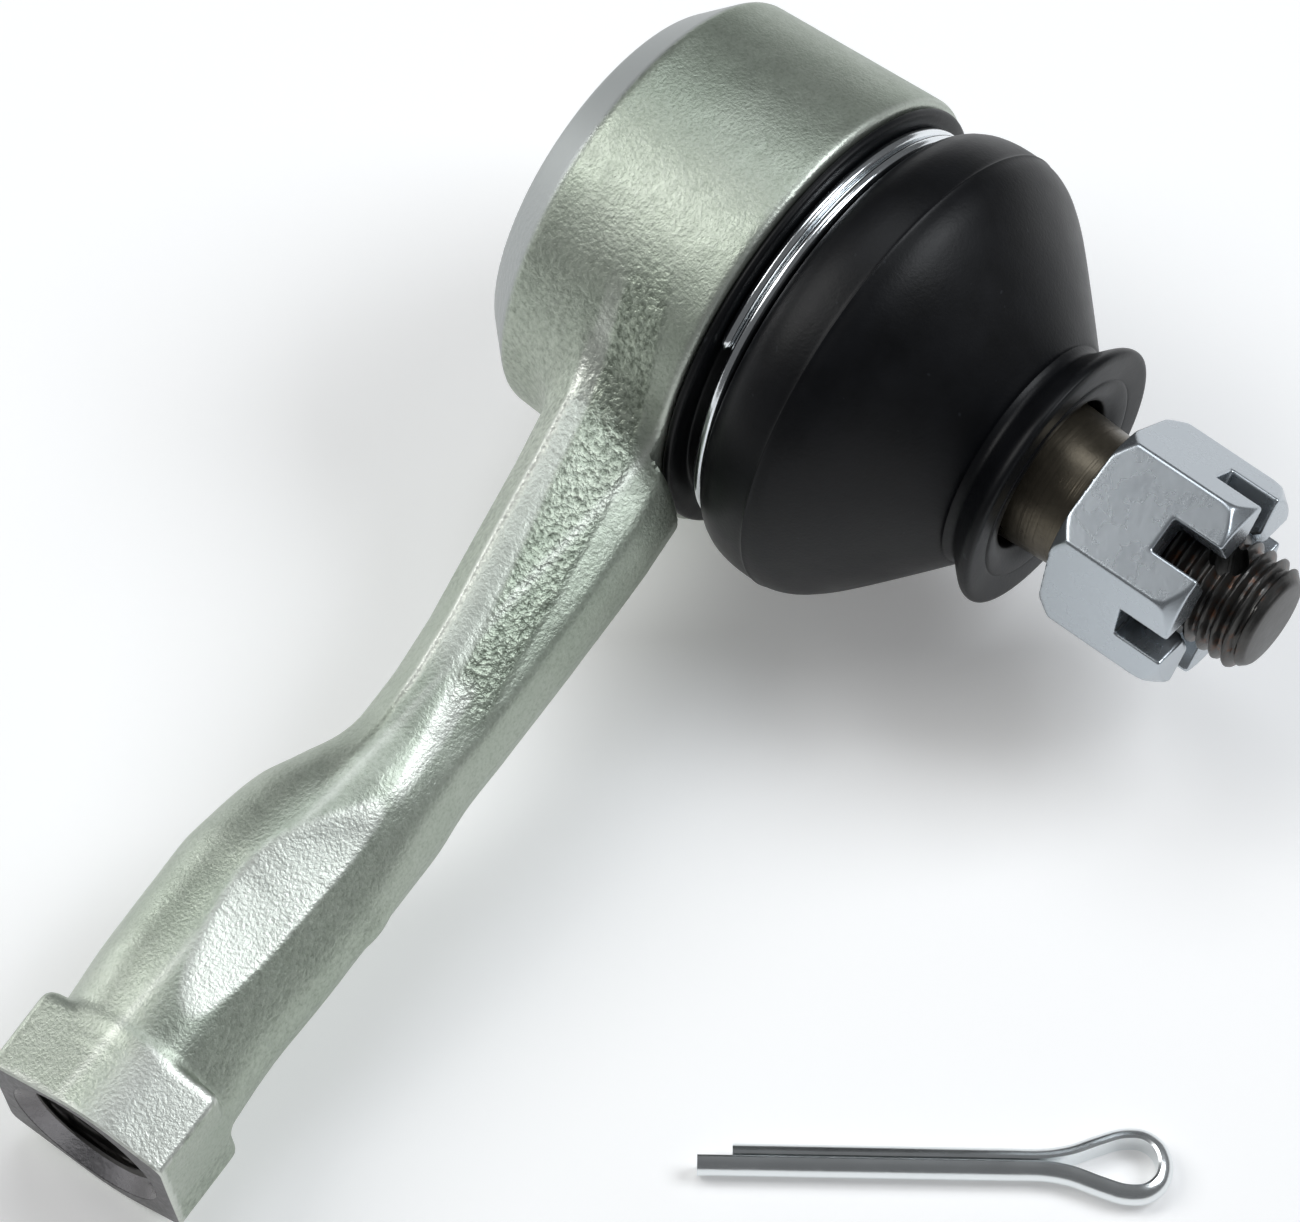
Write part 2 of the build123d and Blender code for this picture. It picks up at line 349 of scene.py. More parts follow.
def f_barrel(u, s, w):
    a = np.abs(w)
    L = smooth_interp(u, [50, 52, 54, 55.7, 57.8, 60.3, 62.3, 65, 68.7, 78, 84], [2.6, 3.0, 3.7, 4.5, 5.6, 6.9, 7.45, 7.95, 8.45, 8.4, 8.05])
    T = smooth_interp(u, [50, 56, 62, 68, 78, 84], [6.2, 6.9, 7.8, 8.35, 8.3, 8.0])
    Rr = smooth_interp(u, [50, 62, 70, 78, 84], [7.7, 8.2, 8.2, 7.9, 8.3])
    s0, ax = (Rr - L) / 2, (Rr + L) / 2
    n = np.sqrt(((s - s0) / ax) ** 2 + (a / T) ** 2 + 1e-9)
    gn = np.sqrt(((s - s0) / ax ** 2) ** 2 + (a / T ** 2) ** 2 + 1e-9) / n
    f = (n - 1.0) / np.maximum(gn, 0.05)
    # flats the dies left: one towards the stud, and a long lens-shaped one on top
    f = smax(f, math.cos(rad(38)) * s + math.sin(rad(38)) * a - 7.72 - 0.25 * np.clip((66 - u) / 8, 0, 1), 0.5)
    th, d = lens_th(u), lens_d(u)
    f = smax(f, np.cos(th) * s + np.sin(th) * w - d, 0.16)
    f = smax(f, np.cos(th) * s - np.sin(th) * w - d, 0.16)
    f = f + 1.0 * np.clip((56.5 - u) / 5.5, 0, 1) ** 1.4 + 0.45 * np.clip((u - 84.9) / 1.4, 0, 1)
    return smax(smax(f, 51.0 - u, 1.0), u - 87.0, 0.5)


def f_collar(u, s, w):
    a = np.abs(w)
    f = None
    for (p, q, r, t), k in (((-8.5, 5.55, 1.3, 8.45), 0), ((1.3, 8.45, 8.5, 5.7), 1.9)):
        ex, ez = r - p, t - q
        ln = math.hypot(ex, ez)
        g = (-ez * (s - p) + ex * (a - q)) / ln
        f = g if f is None else smax(f, g, k)
    f = smax(f, -s - 8.5, 0.9)
    f = smax(f, s - 8.5, 0.6)
    return smax(f, 84.5 - u, 1.2)


def f_head(P):
    x, y, z = P[:, 0], P[:, 1], P[:, 2]
    r = np.sqrt(x * x + z * z)
    phi = np.arctan2(z, x)
    f = smax(r - 19.72 - (y + 8.9) * 0.052, y - 6.3, 0.9)
    f = np.minimum(f, np.maximum(r - 16.5, np.maximum(y - 6.9, -y)))
    f = smax(f, f_cone(r, y, phi), 0.35)
    return smax(f, -14.7 - y - 0.18 * np.cos(phi - rad(105)), 0.35)


def f_cone(r, y, phi):
    """The turned cone round the closed end, cut a little askew to the forging."""
    y2 = y + 0.22 * np.cos(phi - rad(105))
    return 0.737 * (r - 18.98) - 0.676 * (y2 + 11.5) - 0.22 * (1 - np.cos(phi - rad(68)))


def f_cavity(P):
    r = np.sqrt(P[:, 0] ** 2 + P[:, 2] ** 2)
    y = P[:, 1]
    g = np.maximum(r - 13.0, np.maximum(y - 2.0, -12.25 - y))
    g = np.minimum(g, np.maximum((r - 13.0) * 0.777 + (y - 2.0) * 0.63, np.maximum(1.9 - y, y - 5.8)))
    g = np.minimum(g, np.maximum(r - 10.0, 5.6 - y))
    g = np.minimum(g, np.maximum(r - 14.35, np.maximum(y + 12.2, -13.8 - y)))
    return np.minimum(g, np.maximum(r - 13.2, y + 13.7))


def uvw(P):
    return P @ A_DIR, P @ B_DIR, P @ C_DIR


def f_housing(P):
    u, s, w = uvw(P)
    f = smin(f_head(P), f_arm(u, s, w), 3.2)
    f = smin(f, f_barrel(u, s, w), 1.3)
    f = smin(f, f_collar(u, s, w), 0.6)
    # flash line left where the two dies met, with a nub where it was trimmed
    nub = 0.45 * np.exp(-((u - 65.2) / 2.2) ** 2) * (s > 0)
    f = f - (0.07 + nub) * np.exp(-(w / (0.6 + 1.6 * nub)) ** 2) * np.clip((u - 18) / 6, 0, 1) * np.clip((84 - u) / 4, 0, 1) * (np.abs(s) > 2)
    r = np.sqrt(P[:, 0] ** 2 + P[:, 2] ** 2)
    f = smax(f, -np.maximum(np.maximum(r - 21.45, 6.3 - P[:, 1]), np.minimum(16.5 - r, 6.9 - P[:, 1]) * 1.0), 0.25)
    f = np.maximum(f, -f_cavity(P))
    rr = np.sqrt(s * s + w * w)
    # the bore narrows at its blind end, where the forging is thinnest
    return np.maximum(f, -np.maximum(rr - np.clip(5.9 + (u - 61.8) * 0.4, 5.9, 7.0), ARM_LEN - 30.5 - u))


# ------------------------------------------------------------------ materials
def new_mat(name):
    m = bpy.data.materials.new(name)
    m.use_nodes = True
    nt = m.node_tree
    b = nt.nodes["Principled BSDF"]
    return m, nt, b


def add(nt, kind, **kw):
    n = nt.nodes.new(kind)
    for k, v in kw.items():
        if k in n.inputs:
            n.inputs[k].default_value = v
        else:
            setattr(n, k, v)
    return n


def coords(nt):
    return add(nt, "ShaderNodeTexCoord").outputs["Object"]


def noise_tex(nt, co, scale, detail=4.0, rough=0.55, dist=0.0):
    n = add(nt, "ShaderNodeTexNoise")
    n.inputs["Scale"].default_value = scale
    n.inputs["Detail"].default_value = detail
    n.inputs["Roughness"].default_value = rough
    n.inputs["Distortion"].default_value = dist
    nt.links.new(co, n.inputs["Vector"])
    return n.outputs["Fac"]


def ramp(nt, fac, stops):
    r = add(nt, "ShaderNodeValToRGB")
    el = r.color_ramp.elements
    while len(el) < len(stops):
        el.new(0.5)
    for e, (p, c) in zip(el, stops):
        e.position = p
        e.color = (*c, 1) if len(c) == 3 else c
    nt.links.new(fac, r.inputs["Fac"])
    return r.outputs["Color"]


def g3(v):
    return (v, v, v)


def math_node(nt, op, a, b=None, clamp=False):
    n = add(nt, "ShaderNodeMath", operation=op)
    n.use_clamp = clamp
    for i, v in enumerate((a, b)):
        if v is None:
            continue
        if isinstance(v, (int, float)):
            n.inputs[i].default_value = v
        else:
            nt.links.new(v, n.inputs[i])
    return n.outputs[0]


def mix_rgb(nt, fac, a, b, blend="MIX"):
    n = add(nt, "ShaderNodeMix", data_type="RGBA", blend_type=blend)
    for sock, v in ((n.inputs[0], fac), (n.inputs[6], a), (n.inputs[7], b)):
        if isinstance(v, (int, float)):
            sock.default_value = v
        elif isinstance(v, tuple):
            sock.default_value = (*v, 1)
        else:
            nt.links.new(v, sock)
    return n.outputs[2]


def bump(nt, height, dist, strength=1.0, normal=None):
    n = add(nt, "ShaderNodeBump")
    n.inputs["Strength"].default_value = strength
    n.inputs["Distance"].default_value = dist
    nt.links.new(height, n.inputs["Height"])
    if normal is not None:
        nt.links.new(normal, n.inputs["Normal"])
    return n.outputs["Normal"]


def attr(nt, name):
    return add(nt, "ShaderNodeAttribute", attribute_name=name).outputs["Fac"]


def mat_forged():
    m, nt, b = new_mat("forged_steel")
    co = coords(nt)
    L = nt.links
    grain, mach, hl_paint = attr(nt, "grain"), attr(nt, "mach"), attr(nt, "painted_highlight")
    big = noise_tex(nt, co, 60, 3, 0.5)
    mid = noise_tex(nt, co, 700, 3, 0.6)
    fine = noise_tex(nt, co, 3400, 2, 0.6)
    pit = noise_tex(nt, co, 1900, 2, 0.55)
    base = ramp(nt, big, [(0.30, (0.390, 0.440, 0.372)), (0.70, (0.475, 0.512, 0.452))])
    spk = ramp(nt, fine, [(0.30, (0.78, 0.80, 0.77)), (0.5, (0.94, 0.95, 0.93)), (0.70, (1.0, 1.0, 1.0))])
    base = mix_rgb(nt, 1.0, base, spk, "MULTIPLY")
    pits = ramp(nt, pit, [(0.34, (0.48, 0.50, 0.47)), (0.50, (0.88, 0.90, 0.87)), (0.64, (1.12, 1.13, 1.10))])
    coarse = mix_rgb(nt, 1.0, base, pits, "MULTIPLY")
    base = mix_rgb(nt, grain, base, coarse)
    # painted highlight: the die flats, the ridge and the cut edges that face the softboxes get a much lighter colour
    base = mix_rgb(nt, math_node(nt, "MULTIPLY", hl_paint, 0.8), base, (0.78, 0.80, 0.75))
    base = mix_rgb(nt, mach, base, (0.34, 0.36, 0.355))
    L.new(base, b.inputs["Base Color"])
    b.inputs["Metallic"].default_value = 0.85
    rgh = ramp(nt, mid, [(0.3, g3(0.38)), (0.7, g3(0.48))])
    rgh = mix_rgb(nt, grain, rgh, g3(0.44))
    rgh = mix_rgb(nt, hl_paint, rgh, g3(0.40))
    rgh = mix_rgb(nt, mach, rgh, g3(0.37))
    L.new(rgh, b.inputs["Roughness"])
    # fine shot-blasted grain everywhere, coarse scale where the forging was left rough, faint turning marks where it was cut
    sep = add(nt, "ShaderNodeSeparateXYZ")
    L.new(co, sep.inputs[0])
    turn = add(nt, "ShaderNodeTexNoise", noise_dimensions="1D")
    turn.inputs["Scale"].default_value = 1.0
    turn.inputs["Detail"].default_value = 2
    L.new(math_node(nt, "MULTIPLY", sep.outputs["Y"], 1 / 0.00025), turn.inputs["W"])
    keep = math_node(nt, "SUBTRACT", 1.0, mach)
    blast = math_node(nt, "MULTIPLY", math_node(nt, "ADD", math_node(nt, "MULTIPLY", fine, 0.30), math_node(nt, "MULTIPLY", mid, 0.22)), keep)
    gfac = math_node(nt, "MULTIPLY", pit, math_node(nt, "MULTIPLY", grain, 1.25))
    h = math_node(nt, "ADD", math_node(nt, "ADD", blast, gfac), math_node(nt, "MULTIPLY", turn.outputs["Fac"], math_node(nt, "MULTIPLY", mach, 0.012)))
    L.new(bump(nt, h, 0.00015, 1.0), b.inputs["Normal"])
    return m


def mat_machined():
    m, nt, b = new_mat("machined_face")
    co = coords(nt)
    mid = noise_tex(nt, co, 500, 4, 0.6)
    fine = noise_tex(nt, co, 2600, 2, 0.5)
    base = ramp(nt, mid, [(0.3, (0.085, 0.082, 0.086)), (0.7, (0.135, 0.130, 0.135))])
    nt.links.new(base, b.inputs["Base Color"])
    b.inputs["Metallic"].default_value = 0.7
    nt.links.new(ramp(nt, fine, [(0.3, g3(0.34)), (0.7, g3(0.46))]), b.inputs["Roughness"])
    nt.links.new(bump(nt, fine, 0.00003, 0.5), b.inputs["Normal"])
    return m


def mat_steel(name, lo, hi, rlo, rhi, metallic=0.9, marks=None, rust=None, bumpd=0.00003, scale=300):
    """Turned or drawn steel: colour and roughness vary with noise, with marks round the Y axis."""
    m, nt, b = new_mat(name)
    co = coords(nt)
    L = nt.links
    mid = noise_tex(nt, co, scale, 4, 0.6)
    fine = noise_tex(nt, co, 2200, 2, 0.5)
    base = ramp(nt, mid, [(0.3, lo), (0.7, hi)])
    if rust is not None:
        patch = noise_tex(nt, co, 700, 5, 0.7)
        f = ramp(nt, patch, [(0.50, g3(0.0)), (0.66, g3(0.85))])
        fade = attr(nt, "root")
        f = math_node(nt, "MULTIPLY", f, fade)
        base = mix_rgb(nt, f, base, rust)
    L.new(base, b.inputs["Base Color"])
    b.inputs["Metallic"].default_value = metallic
    L.new(ramp(nt, mid, [(0.3, g3(rlo)), (0.7, g3(rhi))]), b.inputs["Roughness"])
    h = fine
    if marks is not None:
        sep = add(nt, "ShaderNodeSeparateXYZ")
        L.new(co, sep.inputs[0])
        w = add(nt, "ShaderNodeTexNoise", noise_dimensions="1D")
        w.inputs["Scale"].default_value = 1.0
        w.inputs["Detail"].default_value = 3
        L.new(math_node(nt, "MULTIPLY", sep.outputs["Y"], 1 / marks), w.inputs["W"])
        h = math_node(nt, "ADD", math_node(nt, "MULTIPLY", fine, 0.4), w.outputs["Fac"])
    L.new(bump(nt, h, bumpd, 0.8), b.inputs["Normal"])
    return m


def mat_zinc(name, base, r0=0.20, r1=0.32, metallic=0.9):
    m, nt, b = new_mat(name)
    co = coords(nt)
    big = noise_tex(nt, co, 420, 3, 0.55)
    fine = noise_tex(nt, co, 1800, 3, 0.6)
    c0 = tuple(0.97 * c for c in base)
    c1 = tuple(min(1, 1.03 * c) for c in base)
    nt.links.new(ramp(nt, big, [(0.1, c0), (0.9, c1)]), b.inputs["Base Color"])
    b.inputs["Metallic"].default_value = metallic
    nt.links.new(ramp(nt, big, [(0.1, g3(r0)), (0.9, g3(r1))]), b.inputs["Roughness"])
    nt.links.new(bump(nt, fine, 0.000015, 0.6), b.inputs["Normal"])
    return m


def mat_rubber():
    m, nt, b = new_mat("boot_rubber")
    co = coords(nt)
    mid = noise_tex(nt, co, 220, 4, 0.6)
    fine = noise_tex(nt, co, 3000, 2, 0.6)
    dust = noise_tex(nt, co, 1300, 1, 0.5)
    base = ramp(nt, mid, [(0.3, (0.0022, 0.0025, 0.0032)), (0.7, (0.0045, 0.0050, 0.0065))])
    f = ramp(nt, dust, [(0.76, g3(0.0)), (0.84, g3(0.25))])
    base = mix_rgb(nt, f, base, (0.06, 0.065, 0.075))
    nt.links.new(base, b.inputs["Base Color"])
    nt.links.new(ramp(nt, mid, [(0.3, g3(0.36)), (0.7, g3(0.44))]), b.inputs["Roughness"])
    b.inputs["Specular IOR Level"].default_value = 0.22
    nt.links.new(bump(nt, fine, 0.00003, 0.5), b.inputs["Normal"])
    return m


def mat_plastic():
    m, nt, b = new_mat("acetal")
    co = coords(nt)
    mid = noise_tex(nt, co, 260, 3, 0.6)
    nt.links.new(ramp(nt, mid, [(0.3, (0.70, 0.68, 0.62)), (0.7, (0.78, 0.77, 0.72))]), b.inputs["Base Color"])
    nt.links.new(ramp(nt, mid, [(0.3, g3(0.38)), (0.7, g3(0.5))]), b.inputs["Roughness"])
    b.inputs["Subsurface Weight"].default_value = 0.05
    b.inputs["Subsurface Scale"].default_value = 0.001
    return m


def mat_floor():
    m, nt, b = new_mat("floor")
    co = coords(nt)
    n = noise_tex(nt, co, 3, 2, 0.5)
    nt.links.new(ramp(nt, n, [(0.3, g3(0.92)), (0.7, g3(0.94))]), b.inputs["Base Color"])
    b.inputs["Emission Color"].default_value = (1.0, 1.0, 1.0, 1)
    b.inputs["Emission Strength"].default_value = 0.20
    b.inputs["Roughness"].default_value = 0.7
    b.inputs["Specular IOR Level"].default_value = 0.2
    return m


M_FORGED = mat_forged()
M_FACE = mat_machined()
M_STUD = mat_steel("stud_steel", (0.090, 0.078, 0.058), (0.150, 0.130, 0.098), 0.26, 0.38, 0.85, marks=0.0003)
M_THREAD = mat_steel("thread_steel", (0.050, 0.049, 0.047), (0.100, 0.098, 0.095), 0.28, 0.42, 0.85, marks=0.0004, rust=(0.16, 0.055, 0.015), bumpd=0.00005)
M_BORE = mat_steel("bore_thread", (0.05, 0.048, 0.046), (0.12, 0.115, 0.11), 0.3, 0.45, 0.8)
M_SINK = mat_steel("countersink_steel", (0.20, 0.195, 0.20), (0.30, 0.29, 0.30), 0.22, 0.32, 0.85)
M_CAP = mat_steel("cap_steel", (0.36, 0.37, 0.34), (0.46, 0.47, 0.44), 0.32, 0.45, 0.85)
M_SPRING = mat_steel("spring_steel", (0.40, 0.40, 0.40), (0.55, 0.55, 0.55), 0.22, 0.32, 0.95)
M_RING = mat_steel("black_steel", (0.02, 0.02, 0.02), (0.04, 0.04, 0.04), 0.35, 0.5, 0.6)
M_NUT = mat_zinc("zinc", (0.49, 0.53, 0.565), 0.25, 0.30)
M_WIRE = mat_zinc("zinc_wire", (0.80, 0.83, 0.85), 0.10, 0.18, 1.0)
M_PIN = mat_zinc("zinc_pin", (0.80, 0.83, 0.84), 0.18, 0.28, 0.95)
M_RUBBER = mat_rubber()
M_PLASTIC = mat_plastic()

# ------------------------------------------------------------------ housing
H = 0.36
v, f = surface_nets(f_housing, (-21.6, -16.2, -21.6), (95.0, 18.5, 21.6), H)
v = project(f_housing, v, 0.5 * H)
v = relax(f_housing, v, f, 3, 0.3 * H)
v = unfold(f_housing, v, f)


def finish_housing(v, f):
    me = bpy.data.meshes.new("housing_forging")
    me.from_pydata((v * MM).tolist(), [], f.tolist())
    bm = bmesh.new()
    bm.from_mesh(me)
    # the collar is faced off square to the thread
    cut = ARM_LEN - 0.18
    no = Vector(A_DIR.tolist())
    bmesh.ops.bisect_plane(bm, geom=bm.verts[:] + bm.edges[:] + bm.faces[:], plane_co=no * (cut * MM), plane_no=no, clear_outer=True, dist=1e-7)
    bmesh.ops.recalc_face_normals(bm, faces=bm.faces)
    # boundary loops at the cut
    be = [e for e in bm.edges if e.is_boundary]
    loops, left = [], set(be)
    while left:
        e = left.pop()
        start, cur = e.verts
        loop = [start, cur]
        while cur is not start:
            nx = [x for x in cur.link_edges if x in left]
            if not nx:
                break
            left.discard(nx[0])
            cur = nx[0].other_vert(cur)
            if cur is not start:
                loop.append(cur)
        loops.append(loop)
    loops = [l for l in loops if len(l) > 20]

    def rr(vt):
        p = np.array(vt.co) / MM
        return math.hypot(p @ B_DIR, p @ C_DIR)

    loops.sort(key=lambda l: -max(rr(x) for x in l))
    outer = loops[0]

    def ang(vt):
        p = np.array(vt.co) / MM
        return math.atan2(p @ C_DIR, p @ B_DIR)

    outer.sort(key=ang)
    return me, bm, outer


def point(u, s, w):
    return dirvec(u, s, w)


me_h, bm_h, outer = finish_housing(v, f)
ring0 = outer
n_o = len(outer)
angs = []
for x in ring0:
    p = np.array(x.co) / MM
    angs.append((p @ B_DIR, p @ C_DIR))
angs = np.array(angs)
rads = np.hypot(angs[:, 0], angs[:, 1])
face_faces = []


def add_ring(u, pts):
    return [bm_h.verts.new(Vector((point(u, a, b) * MM).tolist())) for a, b in pts]


def bridge_bm(a, b, mat_index, store=None):
    n = len(a)
    for k in range(n):
        k2 = (k + 1) % n
        try:
            fc = bm_h.faces.new((a[k], a[k2], b[k2], b[k]))
            fc.material_index = mat_index
            fc.smooth = True
            if store is not None:
                store.append(fc)
        except ValueError:
            pass


inset = angs * (1 - 0.20 / rads)[:, None]
r1 = add_ring(ARM_LEN, inset)
dirs = angs / rads[:, None]
r2 = add_ring(ARM_LEN, dirs * 6.92)
bridge_bm(ring0, r1, 0)
mid1 = add_ring(ARM_LEN, inset * 0.5 + dirs * 6.92 * 0.5)
bridge_bm(r1, mid1, 1)
bridge_bm(mid1, r2, 1)
r3 = add_ring(ARM_LEN - 0.9, dirs * 6.15)
bridge_bm(r2, r3, 1)
bm_h.normal_update()
bmesh.ops.recalc_face_normals(bm_h, faces=bm_h.faces)
bm_h.to_mesh(me_h)
bm_h.free()
me_h.update()

nv = len(me_h.vertices)
co = np.empty(nv * 3)
me_h.vertices.foreach_get("co", co)
co = co.reshape(-1, 3) / MM
nr = np.empty(nv * 3)
me_h.vertices.foreach_get("normal", nr)
nr = nr.reshape(-1, 3)
U, Sd, W = uvw(co)
R = np.hypot(co[:, 0], co[:, 2])


def band(x, a, b, soft):
    return np.clip((x - a) / soft + 0.5, 0, 1) * np.clip((b - x) / soft + 0.5, 0, 1)


cL = np.interp(U, [8, 15.5, 21.3, 27, 34.3, 42, 47.3, 50], [-3.2, -2.4, -1.4, -0.3, 1.3, 2.8, 3.5, 4.8])
cR = np.interp(U, [8, 15.5, 21.3, 27, 34.3, 42, 47.3, 50], [0.2, 2.0, 3.4, 4.3, 5.2, 5.9, 6.6, 5.6])
rough = band(Sd, cL, cR, 0.5) * band(U, 12, 47.5, 4.0) * (W > 2)
lower_head = np.clip((co[:, 0] - 3) / 9, 0, 1) * np.clip((4.5 - co[:, 1]) / 5, 0.25, 1) * 0.42 * (R > 17) * (U < 40) * np.clip((co[:, 0] - co[:, 2] * 0.6 - 2) / 9, 0.15, 1)
lower = (W < -2) * 0.35 * (U > 10)
right_b = band(Sd, 4.6, 9.0, 1.5) * band(U, 62, 84, 4) * 0.25
grain = np.clip(np.maximum.reduce([rough, lower_head, lower, right_b]) + 0.10 * (noise_at(co, 0.12, 3.0) + 0.3), 0, 1)
PHI = np.arctan2(co[:, 2], co[:, 0])
mach = np.clip((f_cone(R, co[:, 1], PHI) + 0.10) / 0.08, 0, 1) * (co[:, 1] < -9)
mach = np.clip(mach + (co[:, 1] < -14.2), 0, 1)
# painted highlight masks: die flats that face the lights are lightened in colour, and a little smoother
lens = np.clip((np.cos(lens_th(U)) * Sd + np.sin(lens_th(U)) * W - lens_d(U) + 0.13) / 0.10, 0, 1) * band(U, 55.5, 82, 1.5) * (W > 0)
bright = band(Sd, np.interp(U, [44, 50, 56], [2.6, 3.6, 4.6]), np.interp(U, [44, 50, 58], [4.8, 5.2, 5.6]), 0.4) * band(U, 46, 57, 2.0) * (W > 3)
ridge_b = np.interp(U, [8, 15.5, 21.3, 27, 34.3, 42, 47.3, 52], [-5.0, -4.0, -3.1, -2.2, -1.2, 0.0, 0.5, 0.6])
# painted glint along the bright ridge
ridge_glint = np.exp(-((Sd - ridge_b) / 0.35) ** 2) * band(U, 17, 50, 3) * (W > 4)
flat_b = band(Sd, ridge_b + 0.1, cL, 0.35) * band(U, 14, 46, 4) * (W > 4) * 0.55
cf = np.clip((Sd - 0.6) / 2.2, 0, 1) * (Sd < 8.35) * (W > 5.2) * (U > 84.9)
# painted highlight lines along the collar's cut edge and the head's rim
collar_edge_highlight = (U > ARM_LEN - 0.5) * 0.6
head_edge_highlight = np.exp(-((co[:, 1] - 6.0) / 0.35) ** 2) * (R > 19.6) * 0.5
painted_highlight = np.clip(np.maximum.reduce([lens * 0.8, bright * 0.75, ridge_glint * 0.95, flat_b, cf * 0.95, collar_edge_highlight, head_edge_highlight]), 0, 1)

is_cut = U > ARM_LEN - 0.25
amp = 0.035 * noise_at(co, 0.22, 1.0) + 0.008 * noise_at(co, 0.7, 5.0) + rough * 0.045 * noise_at(co, 1.35, 9.0) + lower_head * 0.012 * noise_at(co, 1.2, 11.0)
outside = (~is_cut) & (np.hypot(Sd, W) > 7.3) & ~((R < 17) & (U < 14)) & (mach < 0.4) & ~((co[:, 1] > 6.1) & (R < 21.6))
co2 = co + nr * (amp * outside)[:, None]
me_h.vertices.foreach_set("co", (co2 * MM).ravel())
for nm, arr in (("grain", grain), ("mach", mach), ("painted_highlight", painted_highlight)):
    at = me_h.attributes.new(nm, "FLOAT", "POINT")
    at.data.foreach_set("value", arr.astype(np.float32))
me_h.materials.append(M_FORGED)
me_h.materials.append(M_FACE)
me_h.polygons.foreach_set("use_smooth", [True] * len(me_h.polygons))
me_h.update()
me_h.set_sharp_from_angle(angle=rad(32))
housing = bpy.data.objects.new("housing_forging", me_h)
bpy.context.scene.collection.objects.link(housing)
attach(housing, "housing")
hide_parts("housing")


# ------------------------------------------------------------------ rod thread inside the bore
def thread_tooth(t, crest=0.16, root=0.20):
    """0 at the root, 1 at the crest, for a phase from 0 to 1."""
    t = t % 1.0
    d = abs(t - 0.5) * 2          # 1 at phase 0 (root), 0 at phase 0.5 (crest)
    return min(1.0, max(0.0, (1 - root - d) / (1 - root - crest)))


def rod_thread():
    P, n = 1.25, 96
    verts, faces, rows = [], [], []
    prof_u = np.arange(ARM_LEN - 29.6, ARM_LEN - 0.72, 0.125)
    for u in prof_u:
        row = []
        for k in range(n):
            t = 2 * math.pi * k / n
            ph = (u / P + k / n) % 1.0
            r = 6.0 - 0.62 * thread_tooth(ph)
            cap = 6.93 - (ARM_LEN - u) * 1.0      # countersink
            r = max(r, cap) if u > ARM_LEN - 1.7 else r
            row.append(len(verts))
            verts.append(point(u, r * math.cos(t), r * math.sin(t)))
        rows.append(row)
    # out to the mouth along the countersink, and back behind it to close the sleeve
    for (u, r) in ((ARM_LEN - 0.35, 6.58), (ARM_LEN - 0.02, 6.91), (ARM_LEN - 0.02, 6.95), (ARM_LEN - 1.2, 6.9), (ARM_LEN - 27.0, 6.9), (ARM_LEN - 29.9, 6.05)):
        row = []
        for k in range(n):
            t = 2 * math.pi * k / n
            row.append(len(verts))
            verts.append(point(u, r * math.cos(t), r * math.sin(t)))
        rows.append(row)
    for a, b in zip(rows[:-1], rows[1:]):
        faces += bridge_rows(a, b)
    c0 = len(verts)
    verts.append(point(ARM_LEN - 29.9, 0, 0))
    faces += bridge_rows(rows[-1], [c0])
    c1 = len(verts)
    verts.append(point(ARM_LEN - 31.0 + 1.3, 0, 0))
    faces += [(rows[0][(k + 1) % n], rows[0][k], c1) for k in range(n)]
    o = make_obj("rod_bore_thread", verts, faces, "housing", M_BORE, sharp=40)
    fix_normals(o)
    o.data.materials.append(M_SINK)
    cen = np.array([p.center[:] for p in o.data.polygons]) / MM
    uu = cen @ A_DIR
    rr = np.hypot(cen @ B_DIR, cen @ C_DIR)
    o.data.polygons.foreach_set("material_index", ((uu > ARM_LEN - 1.25) & (rr > 5.75)).astype(np.int32))
    return o


rod_thread()

# ------------------------------------------------------------------ end cap
prof = [(0, -15.9)] + [tuple(p) for p in catmull([(6.2, -15.9), (7.6, -15.5), (8.7, -14.2), (9.3, -12.8), (9.9, -12.35)], 4)] + [(14.25, -12.3), (14.3, -12.4), (14.3, -13.7), (14.2, -13.75)] + \
    [tuple(p) for p in catmull([(10.9, -13.75), (10.2, -14.1), (9.5, -15.7), (8.6, -16.8), (7.2, -17.25)], 4)] + [(0, -17.3)]
vv, ff, _ = revolve(prof, 96)
cap = make_obj("end_cap_disc", vv, ff, "housing", M_CAP, ["end_cap"], sharp=38)
fix_normals(cap)

# ------------------------------------------------------------------ ball stud
P_ST = 1.25


